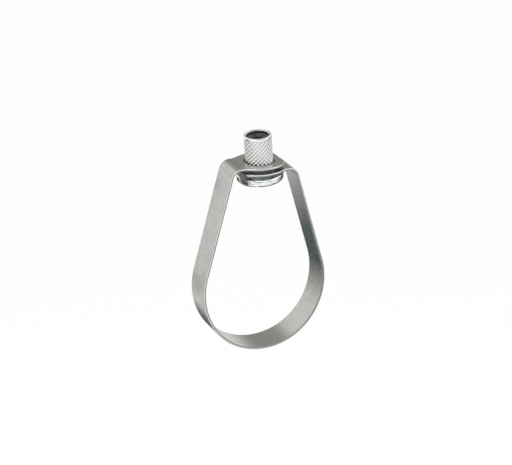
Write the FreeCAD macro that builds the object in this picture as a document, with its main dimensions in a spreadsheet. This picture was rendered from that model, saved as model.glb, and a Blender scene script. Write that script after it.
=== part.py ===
"""Swivel ring hanger for a 2 in pipe on a 3/8 in threaded rod, in millimetres.

Two pieces. The ring band is one strip of sheet steel bent into a pear-shaped ring, whose ends
overlap at the top as two eared plates with one clearance hole through both. The swivel nut is
turned: a barrel that stands up through the hole, a flared flange that carries the band from
below, and a tapped hole for the rod.

The origin is on the swivel axis, at the top face of the upper plate. +Z points up the rod, Y runs
along the pipe and X across the ring.
"""

import FreeCAD, Part
import math
import os
import Sketcher
from enum import IntEnum
from FreeCAD import Rotation, Vector

# Driving dimensions: alias, value in mm or degrees, and what it measures
SIZES = [
    ("pipe_radius", 30.15, "outside radius of the pipe, 60.3 mm across"),
    ("pipe_clearance", 0.35, "room between the pipe and its seat"),
    ("seat_half_angle", 60.0, "seat arc to each side of the lowest point"),
    ("seat_drop", 64.9, "upper plate's top face down to the pipe's centre"),
    ("flank_radius", 34.1, "inside radius of the ring beside the seat"),
    ("strap_width", 15.9, "width of the strip"),
    ("strap_thickness", 1.2, "thickness of the strip"),
    ("bend_radius", 4.2, "inside radius of the two top bends"),
    ("bend_spacing", 25.1, "distance between the centres of the top bends"),
    ("plate_gap", 1.85, "open gap between the two plates"),
    ("edge_bevel", 0.2, "bevel along the strip's edges"),
    ("ear_overhang", 0.05, "widest point of an ear, out past the flange's rim"),
    ("ear_reach", 10.95, "swivel axis to the end of a plate"),
    ("ear_setback", 0.55, "start of a top bend to the start of the ear's hollow curve"),
    ("ear_blend_radius", 6.0, "hollow curve from the strip's edge to an ear"),
    ("ear_corner_radius", 6.5, "rounding of an ear's end corners"),
    ("barrel_radius", 6.85, "outside radius of the nut's barrel"),
    ("nut_play", 0.85, "room between the barrel and the plates' holes"),
    ("nut_lean", 4.0, "how far the nut leans in its loose holes"),
    ("nut_rise", 13.7, "swivel point up to the nut's top face"),
    ("rim_bevel", 0.4, "bevel round the barrel's top"),
    ("lip_bevel", 0.45, "bevel at the mouth of the lead-in"),
    ("lead_in_radius", 5.4, "plain lead-in above the thread"),
    ("lead_in_depth", 1.6, "top face down to the end of the lead-in"),
    ("thread_core_radius", 3.97, "tapping drill radius for the 3/8 in rod thread"),
    ("foot_bevel", 0.9, "countersink at the thread's lower end"),
    ("shoulder_clearance", 0.3, "lower plate's hole edge to the flange's shoulder"),
    ("shoulder_slope", 15.0, "fall of the shoulder towards the rim, from level"),
    ("neck_fillet", 0.6, "hollow fillet between barrel and shoulder"),
    ("flange_radius", 11.45, "outside radius of the flange's rim"),
    ("rim_height", 3.45, "height of the rim between its sharp corners"),
    ("rim_top_round", 0.9, "rounding of the rim's upper edge"),
    ("rim_foot_round", 1.2, "rounding of the rim's lower edge"),
]

# Sizes that follow from the driving ones
SEAT_RADIUS = "Sizes.pipe_radius + Sizes.pipe_clearance"
LOWER_PLATE_DROP = "Sizes.strap_thickness + Sizes.plate_gap"
PLATE_STACK = "2 * Sizes.strap_thickness + Sizes.plate_gap"
HOLE_RADIUS = "Sizes.barrel_radius + Sizes.nut_play"
HALF_STRAP = "Sizes.strap_width / 2"
EAR_HALF_WIDTH = "Sizes.flange_radius + Sizes.ear_overhang"
EAR_START = "Sizes.bend_spacing / 2 - Sizes.ear_setback"


class Fixed(IntEnum):
    """Sketcher's numbers for a sketch's own origin and upright axis."""

    ORIGIN = -1
    UPRIGHT_AXIS = -2


class Spot(IntEnum):
    """Sketcher's numbers for the points of a curve."""

    START = 1
    END = 2
    CENTRE = 3


ORIGIN, UPRIGHT_AXIS = Fixed
START, END, CENTRE = Spot


def make_sheet(document):
    """Write the driving dimensions into a spreadsheet, one aliased cell each."""
    sheet = document.addObject("Spreadsheet::Sheet", "Sizes")
    for row, (alias, value, meaning) in enumerate(SIZES, start=1):
        sheet.set(f"A{row}", alias)
        sheet.set(f"B{row}", str(value))
        sheet.setAlias(f"B{row}", alias)
        sheet.set(f"C{row}", meaning)
    document.recompute()
    return sheet


def polar(centre, radius, angle):
    """Point at a distance and a direction (radians) from a centre."""
    return (centre[0] + radius * math.cos(angle), centre[1] + radius * math.sin(angle))


class Outline:
    """A sketch drawn at its solved place, with every size tied to the sheet."""

    def __init__(self, body, sheet, name, plane_role, height=None):
        self.sheet = sheet
        self.sketch = body.newObject("Sketcher::SketchObject", name)
        plane = next(item for item in body.Origin.OriginFeatures if item.Role == plane_role)
        self.sketch.AttachmentSupport = [(plane, "")]
        self.sketch.MapMode = "FlatFace"
        if height is not None:
            self.sketch.setExpression("AttachmentOffset.Base.z", height)

    def worth(self, expression):
        """Present value of an expression of the sheet's aliases."""
        return float(self.sheet.evalExpression(expression))

    def line(self, start, end, construction=False):
        edge = Part.LineSegment(Vector(*start, 0), Vector(*end, 0))
        return self.sketch.addGeometry(edge, construction)

    def arc(self, centre, radius, first_angle, last_angle):
        circle = Part.Circle(Vector(*centre, 0), Vector(0, 0, 1), radius)
        return self.sketch.addGeometry(Part.ArcOfCircle(circle, first_angle, last_angle), False)

    def circle(self, centre, radius):
        return self.sketch.addGeometry(Part.Circle(Vector(*centre, 0), Vector(0, 0, 1), radius), False)

    def rule(self, kind, *where):
        """A constraint without a size, such as Coincident, Tangent or Horizontal."""
        self.sketch.addConstraint(Sketcher.Constraint(kind, *where))

    def size(self, kind, *where, follows):
        """A constraint whose size follows an expression of the sheet's aliases."""
        value = self.worth(follows)
        if kind == "Angle":
            value = math.radians(value)
        index = self.sketch.addConstraint(Sketcher.Constraint(kind, *where, value))
        self.sketch.setExpression(f"Constraints[{index}]", follows)

    def across(self, curve, point, follows):
        """Horizontal distance of a point to the right of the origin."""
        self.size("DistanceX", ORIGIN, START, curve, point, follows=follows)

    def short_of(self, curve, point, follows):
        """Horizontal distance of a point to the left of the origin."""
        self.size("DistanceX", curve, point, ORIGIN, START, follows=follows)

    def above(self, curve, point, follows):
        """Vertical distance of a point over the origin."""
        self.size("DistanceY", ORIGIN, START, curve, point, follows=follows)

    def below(self, curve, point, follows):
        """Vertical distance of a point under the origin."""
        self.size("DistanceY", curve, point, ORIGIN, START, follows=follows)


def side_centre(outline):
    """Centre of the right-hand side arc: on the line from the seat's centre through the seat's end."""
    half_angle = math.radians(outline.worth("Sizes.seat_half_angle"))
    inward = outline.worth("Sizes.flank_radius") - outline.worth(SEAT_RADIUS)
    seat_centre = (0.0, -outline.worth("Sizes.seat_drop"))
    return polar(seat_centre, -inward, half_angle - math.pi / 2)


def half_ring(outline, side, layer, plate_height):
    """Draw plate, bend, leg and side arc of one half of the ring.

    side is +1 for the half towards +X and -1 for the other. layer is the distance outward from
    the strip's inside face. Returns the curves from the seat up to the plate, and the point of
    each where it meets the one before.
    """
    bend = outline.worth("Sizes.bend_radius")
    top_radius = bend + outline.worth("Sizes.strap_thickness")
    bend_centre = (outline.worth("Sizes.bend_spacing / 2"), plate_height - top_radius)
    arc_centre = side_centre(outline)
    side_radius = outline.worth("Sizes.flank_radius") + layer
    bend_radius = bend + layer
    run = (bend_centre[0] - arc_centre[0], bend_centre[1] - arc_centre[1])
    leg_angle = math.atan2(run[1], run[0]) - math.acos((side_radius - bend_radius) / math.hypot(*run))
    seat_end = math.radians(outline.worth("Sizes.seat_half_angle")) - math.pi / 2
    leg_foot = polar(arc_centre, side_radius, leg_angle)
    leg_head = polar(bend_centre, bend_radius, leg_angle)
    plate_start = polar(bend_centre, bend_radius, math.pi / 2)
    plate_end = (0.0, plate_start[1])

    def place(point):
        return (side * point[0], point[1])

    def curve(centre, radius, first, last):
        if side < 0:
            first, last = math.pi - last, math.pi - first
        return outline.arc(place(centre), radius, first, last)

    flank = curve(arc_centre, side_radius, seat_end, leg_angle)
    leg = outline.line(place(leg_foot), place(leg_head))
    shoulder = curve(bend_centre, bend_radius, leg_angle, math.pi / 2)
    plate = outline.line(place(plate_start), place(plate_end))
    nearer, farther = (START, END) if side > 0 else (END, START)
    outline.rule("Tangent", flank, farther, leg, START)
    outline.rule("Tangent", leg, END, shoulder, nearer)
    outline.rule("Tangent", shoulder, farther, plate, START)
    outline.rule("Horizontal", plate)
    return {"flank": flank, "shoulder": shoulder, "plate": plate, "seat_point": nearer}


def ring_outline(body, sheet):
    """Side view of the bent strip: an outer and an inner chain of tangent lines and arcs."""
    outline = Outline(body, sheet, "RingOutline", "XZ_Plane")
    half_angle = math.radians(outline.worth("Sizes.seat_half_angle"))
    thickness = outline.worth("Sizes.strap_thickness")
    seat_centre = (0.0, -outline.worth("Sizes.seat_drop"))
    lower_plate = -outline.worth(LOWER_PLATE_DROP)
    chains = []
    for layer in (thickness, 0.0):
        seat_radius = outline.worth(SEAT_RADIUS) + layer
        seat = outline.arc(seat_centre, seat_radius, -math.pi / 2 - half_angle, -math.pi / 2 + half_angle)
        right = half_ring(outline, +1, layer, lower_plate)
        left = half_ring(outline, -1, layer, 0.0)
        outline.rule("Tangent", seat, END, right["flank"], right["seat_point"])
        outline.rule("Tangent", seat, START, left["flank"], left["seat_point"])
        chains.append((seat, right, left))
    (outer_seat, outer_right, outer_left), (inner_seat, inner_right, inner_left) = chains

    outline.rule("PointOnObject", outer_seat, CENTRE, UPRIGHT_AXIS)
    outline.below(outer_seat, CENTRE, "Sizes.seat_drop")
    outline.rule("Horizontal", outer_seat, START, outer_seat, END)
    seat_end = polar(seat_centre, outline.worth(SEAT_RADIUS) + thickness, half_angle - math.pi / 2)
    spoke = outline.line(seat_centre, seat_end, construction=True)
    outline.rule("Coincident", spoke, START, outer_seat, CENTRE)
    outline.rule("Coincident", spoke, END, outer_seat, END)
    outline.size("Angle", spoke, follows="Sizes.seat_half_angle - 90")
    outline.size("Radius", outer_seat, follows=f"{SEAT_RADIUS} + Sizes.strap_thickness")
    outline.size("Radius", inner_seat, follows=SEAT_RADIUS)
    outline.rule("Coincident", inner_seat, CENTRE, outer_seat, CENTRE)

    for outer, inner in ((outer_right, inner_right), (outer_left, inner_left)):
        outline.rule("Coincident", inner["flank"], CENTRE, outer["flank"], CENTRE)
        outline.rule("Coincident", inner["shoulder"], CENTRE, outer["shoulder"], CENTRE)
        outline.size("Radius", outer["flank"], follows="Sizes.flank_radius + Sizes.strap_thickness")
        outline.size("Radius", outer["shoulder"], follows="Sizes.bend_radius + Sizes.strap_thickness")
        outline.size("Radius", inner["shoulder"], follows="Sizes.bend_radius")
        strip_end = outline.line((0.0, 0.0), (0.0, -thickness))
        outline.rule("Coincident", strip_end, START, outer["plate"], END)
        outline.rule("Coincident", strip_end, END, inner["plate"], END)
        outline.rule("PointOnObject", inner["plate"], END, UPRIGHT_AXIS)
    outline.across(outer_right["shoulder"], CENTRE, "Sizes.bend_spacing / 2")
    outline.short_of(outer_left["shoulder"], CENTRE, "Sizes.bend_spacing / 2")
    outline.rule("Coincident", outer_left["plate"], END, ORIGIN, START)
    outline.rule("PointOnObject", outer_right["plate"], END, UPRIGHT_AXIS)
    outline.below(outer_right["plate"], END, LOWER_PLATE_DROP)
    return outline.sketch


def ear_outline(body, sheet, name, toward, height):
    """Plan of one plate's ear; toward is +1 where the plate's end points to +X, else -1."""
    outline = Outline(body, sheet, name, "XY_Plane", height)
    turn = 0.0 if toward > 0 else math.pi
    blend_radius = outline.worth("Sizes.ear_blend_radius")
    corner_radius = outline.worth("Sizes.ear_corner_radius")
    half_strap = outline.worth(HALF_STRAP)
    half_width = outline.worth(EAR_HALF_WIDTH)
    reach = outline.worth("Sizes.ear_reach")
    blend_start = -outline.worth(EAR_START)
    blend_height = half_strap + blend_radius
    # An ear's side is the arc that peaks beside the hole and just touches both hollow curves
    spare = blend_height - half_width
    side_radius = (blend_start**2 + spare**2 - blend_radius**2) / (2 * (blend_radius - spare))
    centre_rise = side_radius - half_width
    blend_angle = math.asin((blend_height + centre_rise) / (side_radius + blend_radius))
    corner_x = reach - corner_radius
    corner_angle = math.acos(corner_x / (side_radius - corner_radius))
    corner_y = (side_radius - corner_radius) * math.sin(corner_angle) - centre_rise

    def place(point):
        return polar((0.0, 0.0), math.hypot(*point), math.atan2(point[1], point[0]) + turn)

    def curve(centre, radius, first, last):
        return outline.arc(place(centre), radius, first + turn, last + turn)

    half = math.pi
    low_blend = curve((blend_start, -blend_height), blend_radius, blend_angle, half / 2)
    low_side = curve((0.0, centre_rise), side_radius, half + blend_angle, 2 * half - corner_angle)
    low_corner = curve((corner_x, -corner_y), corner_radius, -corner_angle, 0.0)
    end = outline.line(place((reach, -corner_y)), place((reach, corner_y)))
    high_corner = curve((corner_x, corner_y), corner_radius, 0.0, corner_angle)
    high_side = curve((0.0, -centre_rise), side_radius, corner_angle, half - blend_angle)
    high_blend = curve((blend_start, blend_height), blend_radius, -half / 2, -blend_angle)
    start = outline.line(place((blend_start, half_strap)), place((blend_start, -half_strap)))

    outline.rule("Coincident", start, END, low_blend, END)
    outline.rule("Tangent", low_blend, START, low_side, START)
    outline.rule("Tangent", low_side, END, low_corner, START)
    outline.rule("Tangent", low_corner, END, end, START)
    outline.rule("Tangent", end, END, high_corner, START)
    outline.rule("Tangent", high_corner, END, high_side, START)
    outline.rule("Tangent", high_side, END, high_blend, END)
    outline.rule("Coincident", high_blend, START, start, START)
    outline.rule("Vertical", end)
    outline.rule("Vertical", low_blend, CENTRE, low_blend, END)
    outline.rule("Vertical", high_blend, CENTRE, high_blend, START)
    outline.rule("Vertical", start)
    peaks = []
    for side, blend, corner, sign in (
        (low_side, low_blend, low_corner, -1),
        (high_side, high_blend, high_corner, +1),
    ):
        peak = outline.line((0.0, 0.0), place((0.0, sign * half_width)), construction=True)
        outline.rule("Coincident", peak, START, ORIGIN, START)
        outline.rule("PointOnObject", peak, END, UPRIGHT_AXIS)
        outline.rule("PointOnObject", peak, END, side)
        outline.rule("PointOnObject", side, CENTRE, UPRIGHT_AXIS)
        outline.size("Radius", blend, follows="Sizes.ear_blend_radius")
        outline.size("Radius", corner, follows="Sizes.ear_corner_radius")
        peaks.append(peak)
    low_peak, high_peak = peaks
    if toward > 0:
        outline.below(low_peak, END, EAR_HALF_WIDTH)
        outline.above(high_peak, END, EAR_HALF_WIDTH)
        outline.below(start, END, HALF_STRAP)
        outline.above(start, START, HALF_STRAP)
        outline.across(end, START, "Sizes.ear_reach")
        outline.short_of(start, START, EAR_START)
    else:
        outline.above(low_peak, END, EAR_HALF_WIDTH)
        outline.below(high_peak, END, EAR_HALF_WIDTH)
        outline.above(start, END, HALF_STRAP)
        outline.below(start, START, HALF_STRAP)
        outline.short_of(end, START, "Sizes.ear_reach")
        outline.across(start, START, EAR_START)
    return outline.sketch


def add_pad(body, name, sketch, length, both_ways=False, downward=False):
    """Pad a sketch by a length that follows the sheet."""
    pad = body.newObject("PartDesign::Pad", name)
    pad.Profile = sketch
    pad.SideType = "Symmetric" if both_ways else "One side"
    pad.Reversed = downward
    pad.setExpression("Length", length)
    sketch.Visibility = False
    return pad


def sharp_edges(shape):
    """Names of the edges where two faces meet at an angle."""
    names = []
    for number, edge in enumerate(shape.Edges, start=1):
        faces = shape.ancestorsOfType(edge, Part.Face)
        if len(faces) != 2:
            continue
        point = edge.valueAt((edge.FirstParameter + edge.LastParameter) / 2)
        first, second = (face.normalAt(*face.Surface.parameter(point)) for face in faces)
        if abs(first.dot(second)) < math.cos(math.radians(10)):
            names.append(f"Edge{number}")
    return names


def make_ring_band(document, sheet):
    """The strip: bent ring, two ears, the hole through both plates, and bevelled edges."""
    body = document.addObject("PartDesign::Body", "RingBand")
    body.Label = "ring_band"
    add_pad(body, "Ring", ring_outline(body, sheet), "Sizes.strap_width", both_ways=True)
    upper = ear_outline(body, sheet, "UpperEarOutline", +1, "0")
    add_pad(body, "UpperEar", upper, "Sizes.strap_thickness", downward=True)
    lower = ear_outline(body, sheet, "LowerEarOutline", -1, f"-({LOWER_PLATE_DROP})")
    add_pad(body, "LowerEar", lower, "Sizes.strap_thickness", downward=True)
    document.recompute()

    hole = Outline(body, sheet, "HoleOutline", "XY_Plane")
    rim = hole.circle((0.0, 0.0), hole.worth(HOLE_RADIUS))
    hole.rule("Coincident", rim, CENTRE, ORIGIN, START)
    hole.size("Radius", rim, follows=HOLE_RADIUS)
    uncut = body.Shape.Volume
    pocket = body.newObject("PartDesign::Pocket", "NutHole")
    pocket.Profile = hole.sketch
    pocket.setExpression("Length", PLATE_STACK)
    hole.sketch.Visibility = False
    document.recompute()
    punched = 2 * hole.worth("Sizes.strap_thickness") * math.pi * hole.worth(HOLE_RADIUS) ** 2
    if abs(uncut - body.Shape.Volume - punched) > 0.01 * punched:
        raise RuntimeError("the hole doesn't go through both plates")

    bevel = body.newObject("PartDesign::Chamfer", "StripEdges")
    bevel.Base = (pocket, sharp_edges(pocket.Shape))
    bevel.setExpression("Size", "Sizes.edge_bevel")
    return body


# Height, along the nut's axis, of the shoulder's cone where it passes under the hole's edge
SHOULDER_DROP = (
    f"({PLATE_STACK} + Sizes.shoulder_clearance + ({HOLE_RADIUS}) * sin(Sizes.nut_lean * 1deg))"
    " / cos(Sizes.nut_lean * 1deg)"
)
FLANGE_OVERHANG = f"Sizes.flange_radius - ({HOLE_RADIUS})"
RIM_TOP_DROP = f"{SHOULDER_DROP} + ({FLANGE_OVERHANG}) * tan(Sizes.shoulder_slope * 1deg)"
RIM_FOOT_DROP = f"{RIM_TOP_DROP} + Sizes.rim_height"


def nut_outline(body, sheet):
    """Half section of the nut, from the thread's foot round the flange and up the barrel."""
    outline = Outline(body, sheet, "NutSection", "XZ_Plane")
    worth = outline.worth
    slope = math.radians(worth("Sizes.shoulder_slope"))
    core = worth("Sizes.thread_core_radius")
    barrel = worth("Sizes.barrel_radius")
    flange = worth("Sizes.flange_radius")
    top = worth("Sizes.nut_rise")
    foot = -worth(RIM_FOOT_DROP)
    rim_top = -worth(RIM_TOP_DROP)
    lead_in = worth("Sizes.lead_in_radius")
    lead_in_end = top - worth("Sizes.lead_in_depth")
    foot_round = worth("Sizes.rim_foot_round")
    top_round = worth("Sizes.rim_top_round")
    neck = worth("Sizes.neck_fillet")
    foot_centre = (flange - foot_round, foot + foot_round)
    # Each rounding touches the cone, so its centre lies on a line parallel to the cone
    top_centre = (flange - top_round, rim_top + top_round * (math.tan(slope) - 1 / math.cos(slope)))
    neck_centre = (
        barrel + neck,
        rim_top + (flange - barrel - neck) * math.tan(slope) + neck / math.cos(slope),
    )
    cone_normal = math.pi / 2 - slope
    cone_foot = polar(top_centre, top_round, cone_normal)
    cone_head = polar(neck_centre, -neck, cone_normal)
    foot_bevel = worth("Sizes.foot_bevel")
    rim_bevel = worth("Sizes.rim_bevel")
    lip_bevel = worth("Sizes.lip_bevel")

    sole = outline.line((core + foot_bevel, foot), (foot_centre[0], foot))
    foot_arc = outline.arc(foot_centre, foot_round, -math.pi / 2, 0.0)
    rim = outline.line((flange, foot_centre[1]), (flange, top_centre[1]))
    top_arc = outline.arc(top_centre, top_round, 0.0, cone_normal)
    cone = outline.line(cone_foot, cone_head)
    neck_arc = outline.arc(neck_centre, neck, math.pi, math.pi + cone_normal)
    wall = outline.line((barrel, neck_centre[1]), (barrel, top - rim_bevel))
    bevel = outline.line((barrel, top - rim_bevel), (barrel - rim_bevel, top))
    crown = outline.line((barrel - rim_bevel, top), (lead_in + lip_bevel, top))
    lip = outline.line((lead_in + lip_bevel, top), (lead_in, top - lip_bevel))
    mouth = outline.line((lead_in, top - lip_bevel), (lead_in, lead_in_end))
    step = outline.line((lead_in, lead_in_end), (core, lead_in_end - (lead_in - core)))
    bore = outline.line((core, lead_in_end - (lead_in - core)), (core, foot + foot_bevel))
    sink = outline.line((core, foot + foot_bevel), (core + foot_bevel, foot))

    outline.rule("Tangent", sole, END, foot_arc, START)
    outline.rule("Tangent", foot_arc, END, rim, START)
    outline.rule("Tangent", rim, END, top_arc, START)
    outline.rule("Tangent", top_arc, END, cone, START)
    outline.rule("Tangent", cone, END, neck_arc, END)
    outline.rule("Tangent", neck_arc, START, wall, START)
    upper_chain = (wall, bevel, crown, lip, mouth, step, bore, sink)
    for before, after in zip(upper_chain, upper_chain[1:]):
        outline.rule("Coincident", before, END, after, START)
    outline.rule("Coincident", sink, END, sole, START)
    for level in (sole, crown):
        outline.rule("Horizontal", level)
    for upright in (rim, wall, mouth, bore):
        outline.rule("Vertical", upright)

    outline.size("Radius", foot_arc, follows="Sizes.rim_foot_round")
    outline.size("Radius", top_arc, follows="Sizes.rim_top_round")
    outline.size("Radius", neck_arc, follows="Sizes.neck_fillet")
    outline.size("Angle", cone, follows="180 - Sizes.shoulder_slope")
    # The cone's own line is held where it passes under the edge of the plates' holes
    hole = worth(HOLE_RADIUS)
    gauge = outline.line((hole, 0.0), (hole, -worth(SHOULDER_DROP)), construction=True)
    outline.rule("Vertical", gauge)
    outline.rule("PointOnObject", gauge, END, cone)
    outline.across(gauge, START, HOLE_RADIUS)
    outline.rule("Horizontal", gauge, START, ORIGIN, START)
    outline.below(gauge, END, SHOULDER_DROP)
    outline.below(sole, START, RIM_FOOT_DROP)
    outline.across(rim, START, "Sizes.flange_radius")
    outline.across(wall, START, "Sizes.barrel_radius")
    outline.across(mouth, START, "Sizes.lead_in_radius")
    outline.across(bore, START, "Sizes.thread_core_radius")
    outline.above(crown, START, "Sizes.nut_rise")
    outline.size("DistanceX", bevel, END, bevel, START, follows="Sizes.rim_bevel")
    outline.size("DistanceY", bevel, START, bevel, END, follows="Sizes.rim_bevel")
    outline.size("DistanceX", lip, END, lip, START, follows="Sizes.lip_bevel")
    outline.size("DistanceY", lip, END, lip, START, follows="Sizes.lip_bevel")
    outline.size("DistanceY", step, START, crown, END, follows="Sizes.lead_in_depth")
    outline.size("Angle", step, follows="-135")
    outline.size("DistanceX", sink, START, sink, END, follows="Sizes.foot_bevel")
    outline.size("DistanceY", sink, END, sink, START, follows="Sizes.foot_bevel")
    return outline.sketch


def make_swivel_nut(document, sheet):
    """The turned nut, leaning towards -X about the swivel point as its loose holes let it."""
    body = document.addObject("PartDesign::Body", "SwivelNut")
    body.Label = "swivel_nut"
    section = nut_outline(body, sheet)
    turning = body.newObject("PartDesign::Revolution", "Turning")
    turning.Profile = section
    turning.ReferenceAxis = (section, ["V_Axis"])
    turning.Angle = 360.0
    section.Visibility = False
    body.Placement = FreeCAD.Placement(Vector(0, 0, 0), Rotation(Vector(0, -1, 0), 1.0))
    body.setExpression("Placement.Rotation.Angle", "Sizes.nut_lean")
    return body


def check(document, pieces):
    """Stop if any object failed, or if a piece isn't one valid solid."""
    for item in document.Objects:
        if "Invalid" in item.State or "Error" in item.State:
            raise RuntimeError(f"{item.Name}: {item.State}")
    for piece in pieces:
        shape = piece.Shape
        if shape.isNull() or not shape.isValid() or len(shape.Solids) != 1:
            raise RuntimeError(f"{piece.Label} isn't one valid solid")


def main():
    """Build both pieces and write one STEP file for each."""
    document = FreeCAD.newDocument("SwivelRingHanger")
    sheet = make_sheet(document)
    pieces = [make_ring_band(document, sheet), make_swivel_nut(document, sheet)]
    document.recompute()
    check(document, pieces)
    os.makedirs("parts", exist_ok=True)
    for piece in pieces:
        piece.Shape.exportStep(f"parts/{piece.Label}.step")
        box = piece.Shape.BoundBox
        print(
            f"{piece.Label}: {piece.Shape.Volume:.0f} mm3, "
            f"X {box.XMin:.2f}..{box.XMax:.2f}, Y {box.YMin:.2f}..{box.YMax:.2f}, "
            f"Z {box.ZMin:.2f}..{box.ZMax:.2f}"
        )


main()
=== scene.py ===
"""Looks of the swivel ring hanger: the bent galvanised strip and the knurled, plated nut.

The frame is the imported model. Its origin is where the nut's thread axis crosses the swivel axis, at
the upper plate's top face. +Z points up the rod, Y runs along the pipe and X across the ring. Sizes
are in millimetres and angles in degrees, and both turn into metres and radians where a mesh is made.
"""

import logging
import math
from dataclasses import dataclass, field
from enum import Enum

import bpy
import numpy as np
from mathutils import Matrix, Vector


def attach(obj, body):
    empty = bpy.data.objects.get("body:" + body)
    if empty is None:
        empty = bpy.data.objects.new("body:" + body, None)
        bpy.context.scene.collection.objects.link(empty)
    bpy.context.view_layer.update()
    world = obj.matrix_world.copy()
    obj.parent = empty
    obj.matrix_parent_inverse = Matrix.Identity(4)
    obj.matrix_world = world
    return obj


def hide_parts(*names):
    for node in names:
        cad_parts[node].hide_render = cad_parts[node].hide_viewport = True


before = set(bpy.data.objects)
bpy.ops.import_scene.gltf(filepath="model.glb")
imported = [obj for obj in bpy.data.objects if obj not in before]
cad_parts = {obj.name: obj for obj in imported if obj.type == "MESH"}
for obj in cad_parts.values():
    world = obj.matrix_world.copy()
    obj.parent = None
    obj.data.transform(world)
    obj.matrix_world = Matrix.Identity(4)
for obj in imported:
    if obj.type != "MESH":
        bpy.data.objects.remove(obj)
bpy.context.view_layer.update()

MM = 0.001
PHOTO_WIDTH = 512
# Points of a mesh in the same cell, this many to the millimetre, become one
CELLS_PER_MM = 1e5
# Moves the cells so that round sizes don't lie between two of them
CELL_OFFSET = 0.37
# Sizes nearer to each other than this, in millimetres, are the same
SAME = 1e-6
# Empty border of the bake's map, as a share of its side
MAP_MARGIN = 0.004
# Where most values of a noise lie, and most values of a mix of noises
NOISE_SPAN = (0.3, 0.7)
TONE_SPAN = (0.2, 0.8)
# The dark tint and the soft edges that most cards share
SLATE = (0.10, 0.12, 0.13)
SOFT = (0.4, 0.4)

Socket = bpy.types.NodeSocket
Pair = tuple[float, float]
Triple = tuple[float, float, float]

logging.basicConfig(level=logging.INFO, format="%(message)s")
log = logging.getLogger("swivel_ring_hanger")


class Body(Enum):
    """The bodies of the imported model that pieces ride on."""

    NUT = "nut"
    RING = "ring"


class Slot(Enum):
    """The material slots of the record."""

    GALVANISED = "galvanised_steel"
    PLATED = "plated_steel"


class Mark(Enum):
    """Values kept with each point of a mesh, which the finishes read."""

    FLAT = "flat"
    EDGE = "edge"
    BEND = "bend"
    TURNED = "turned"
    GROOVE = "groove"
    BORE = "bore"
    # Painted shade: marks where the colour is darkened between the plates, on the holes' walls and on the
    # nut's barrel between the plates
    PAINTED_SHADE = "painted_shade"


def arc(
    centre: Pair, radius: float, first: float, last: float, steps: int
) -> tuple[np.ndarray, np.ndarray]:
    """Points of an arc without its last one: centre plus radius times the direction of each angle.

    Args:
        centre: Centre of the arc.
        radius: Radius of the arc.
        first: Angle of its first point.
        last: Angle of its end, which isn't among the points.
        steps: Number of points.

    Returns:
        The points, and the direction from the centre to each.
    """
    angles = np.radians(np.linspace(first, last, steps, endpoint=False))
    outward = np.stack([np.cos(angles), np.sin(angles)], axis=1)
    return np.asarray(centre) + radius * outward, outward


def run(start: Pair, end: Pair, steps: int) -> np.ndarray:
    """Points of a straight line without its last one: start plus equal shares of the way to end."""
    share = np.linspace(0.0, 1.0, steps, endpoint=False)[:, None]
    return np.asarray(start) * (1.0 - share) + np.asarray(end) * share


def smooth_step(value: np.ndarray, low: float, high: float) -> np.ndarray:
    """0 below low, 1 above high, and the cubic 3t^2 - 2t^3 of the share t in between."""
    share = np.clip((value - low) / (high - low), 0.0, 1.0)
    return share * share * (3.0 - 2.0 * share)


def grid_quads(rows: int, columns: int) -> np.ndarray:
    """Point numbers of the four-sided faces between the neighbours of a grid."""
    index = np.arange(rows * columns).reshape(rows, columns)
    corners = [index[:-1, :-1], index[:-1, 1:], index[1:, 1:], index[1:, :-1]]
    return np.stack(corners, axis=-1).reshape(-1, 4)


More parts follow.
